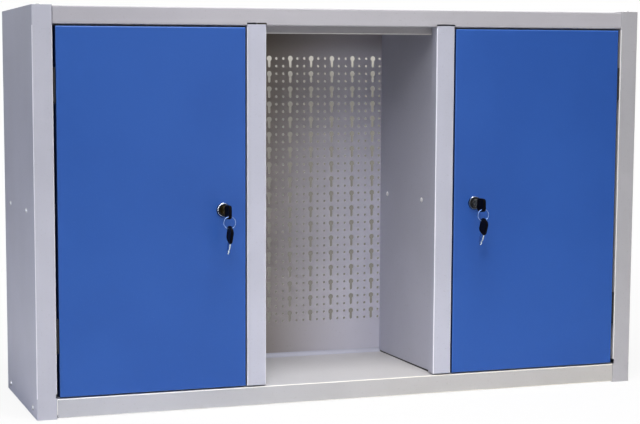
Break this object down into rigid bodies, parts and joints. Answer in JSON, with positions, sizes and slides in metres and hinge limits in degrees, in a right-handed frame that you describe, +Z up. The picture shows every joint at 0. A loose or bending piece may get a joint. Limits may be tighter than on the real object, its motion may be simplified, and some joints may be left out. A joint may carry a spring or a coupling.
{
  "type": "wall tool cabinet",
  "caption": "Steel wall cabinet for tools: lockable hinged doors with keys on either side of an open bay with a perforated hook panel, and a shelf behind each door.",
  "frame": {"origin": "middle of the casing's footprint, at the underside of the side panels", "axes": "+X along the cabinet to the right-hand door, +Y from the doors to the wall, +Z up"},
  "size_m": [0.984, 0.3056, 0.602],
  "materials": {
    "grey_paint": "light grey powder coat, satin",
    "blue_paint": "mid blue powder coat, satin",
    "zinc_steel": "bright zinc",
    "black_steel": "blackened, satin",
    "chrome": "polished",
    "brass": "drawn, dulled",
    "key_steel": "nickel plated",
    "black_plastic": "moulded, satin"
  },
  "bodies": {
    "casing": {"top_panel": "grey_paint", "bottom_panel": "grey_paint", "perforated_panel": "grey_paint", "side_panel_left": "grey_paint", "partition_left": "grey_paint", "rear_panel_left": "grey_paint", "shelf_left": "grey_paint", "base_screws_left": "zinc_steel", "shelf_outer_screws_left": "zinc_steel", "shelf_inner_screws_left": "zinc_steel", "hinge_frame_leaf_left_lower": "black_steel", "hinge_pin_left_lower": "black_steel", "hinge_frame_leaf_left_upper": "black_steel", "hinge_pin_left_upper": "black_steel", "side_panel_right": "grey_paint", "partition_right": "grey_paint", "rear_panel_right": "grey_paint", "shelf_right": "grey_paint", "base_screws_right": "zinc_steel", "shelf_outer_screws_right": "zinc_steel", "shelf_inner_screws_right": "zinc_steel", "hinge_frame_leaf_right_lower": "black_steel", "hinge_pin_right_lower": "black_steel", "hinge_frame_leaf_right_upper": "black_steel", "hinge_pin_right_upper": "black_steel", "top_screws": "zinc_steel"},
    "door_left": {"door_panel_left": "blue_paint", "hinge_door_leaf_left_lower": "black_steel", "hinge_door_leaf_left_upper": "black_steel", "lock_housing_left": "chrome", "lock_nut_left": "zinc_steel"},
    "lock_left": {"lock_plug_left": "brass", "lock_cam_left": "zinc_steel", "cam_screw_left": "zinc_steel"},
    "key_left": {"key_blade_left": "key_steel", "key_bow_left": "black_plastic"},
    "ring_left": {"key_ring_left": "key_steel"},
    "spare_left": {"spare_key_blade_left": "key_steel", "spare_key_bow_left": "black_plastic"},
    "door_right": {"door_panel_right": "blue_paint", "hinge_door_leaf_right_lower": "black_steel", "hinge_door_leaf_right_upper": "black_steel", "lock_housing_right": "chrome", "lock_nut_right": "zinc_steel"},
    "lock_right": {"lock_plug_right": "brass", "lock_cam_right": "zinc_steel", "cam_screw_right": "zinc_steel"},
    "key_right": {"key_blade_right": "key_steel", "key_bow_right": "black_plastic"},
    "ring_right": {"key_ring_right": "key_steel"},
    "spare_right": {"spare_key_blade_right": "key_steel", "spare_key_bow_right": "black_plastic"}
  },
  "joints": [
    {"name": "door_left_swing", "type": "hinge", "parent": "casing", "child": "door_left", "pos_m": [-0.458, -0.1278, 0.3], "axis": [0, 0, -1], "range_deg": [0, 105]},
    {"name": "lock_left_turn", "type": "hinge", "parent": "door_left", "child": "lock_left", "pos_m": [-0.206, -0.13, 0.3006], "axis": [0, 1, 0], "range_deg": [0, 90]},
    {"name": "key_left_pull", "type": "slide", "parent": "lock_left", "child": "key_left", "axis": [0, -1, 0], "range_m": [0, 0.025]},
    {"name": "ring_left_swing", "type": "hinge", "parent": "key_left", "child": "ring_left", "pos_m": [-0.206, -0.1611, 0.293], "axis": [1, 0, 0], "range_deg": [-45, 8]},
    {"name": "spare_left_hang", "type": "hinge", "parent": "ring_left", "child": "spare_left", "pos_m": [-0.206, -0.1611, 0.284], "axis": [0, 1, 0], "range_deg": [-90, 0]},
    {"name": "door_right_swing", "type": "hinge", "parent": "casing", "child": "door_right", "pos_m": [0.458, -0.1278, 0.3], "axis": [0, 0, 1], "range_deg": [0, 105]},
    {"name": "lock_right_turn", "type": "hinge", "parent": "door_right", "child": "lock_right", "pos_m": [0.206, -0.13, 0.3006], "axis": [0, -1, 0], "range_deg": [0, 90]},
    {"name": "key_right_pull", "type": "slide", "parent": "lock_right", "child": "key_right", "axis": [0, -1, 0], "range_m": [0, 0.025]},
    {"name": "ring_right_swing", "type": "hinge", "parent": "key_right", "child": "ring_right", "pos_m": [0.206, -0.1611, 0.293], "axis": [1, 0, 0], "range_deg": [-45, 8]},
    {"name": "spare_right_hang", "type": "hinge", "parent": "ring_right", "child": "spare_right", "pos_m": [0.206, -0.1611, 0.284], "axis": [0, -1, 0], "range_deg": [-90, 0]}
  ],
  "couplings": [
    {"joint": "spare_left_hang", "follows": "lock_left_turn", "ratio": -1},
    {"joint": "spare_right_hang", "follows": "lock_right_turn", "ratio": -1}
  ]
}
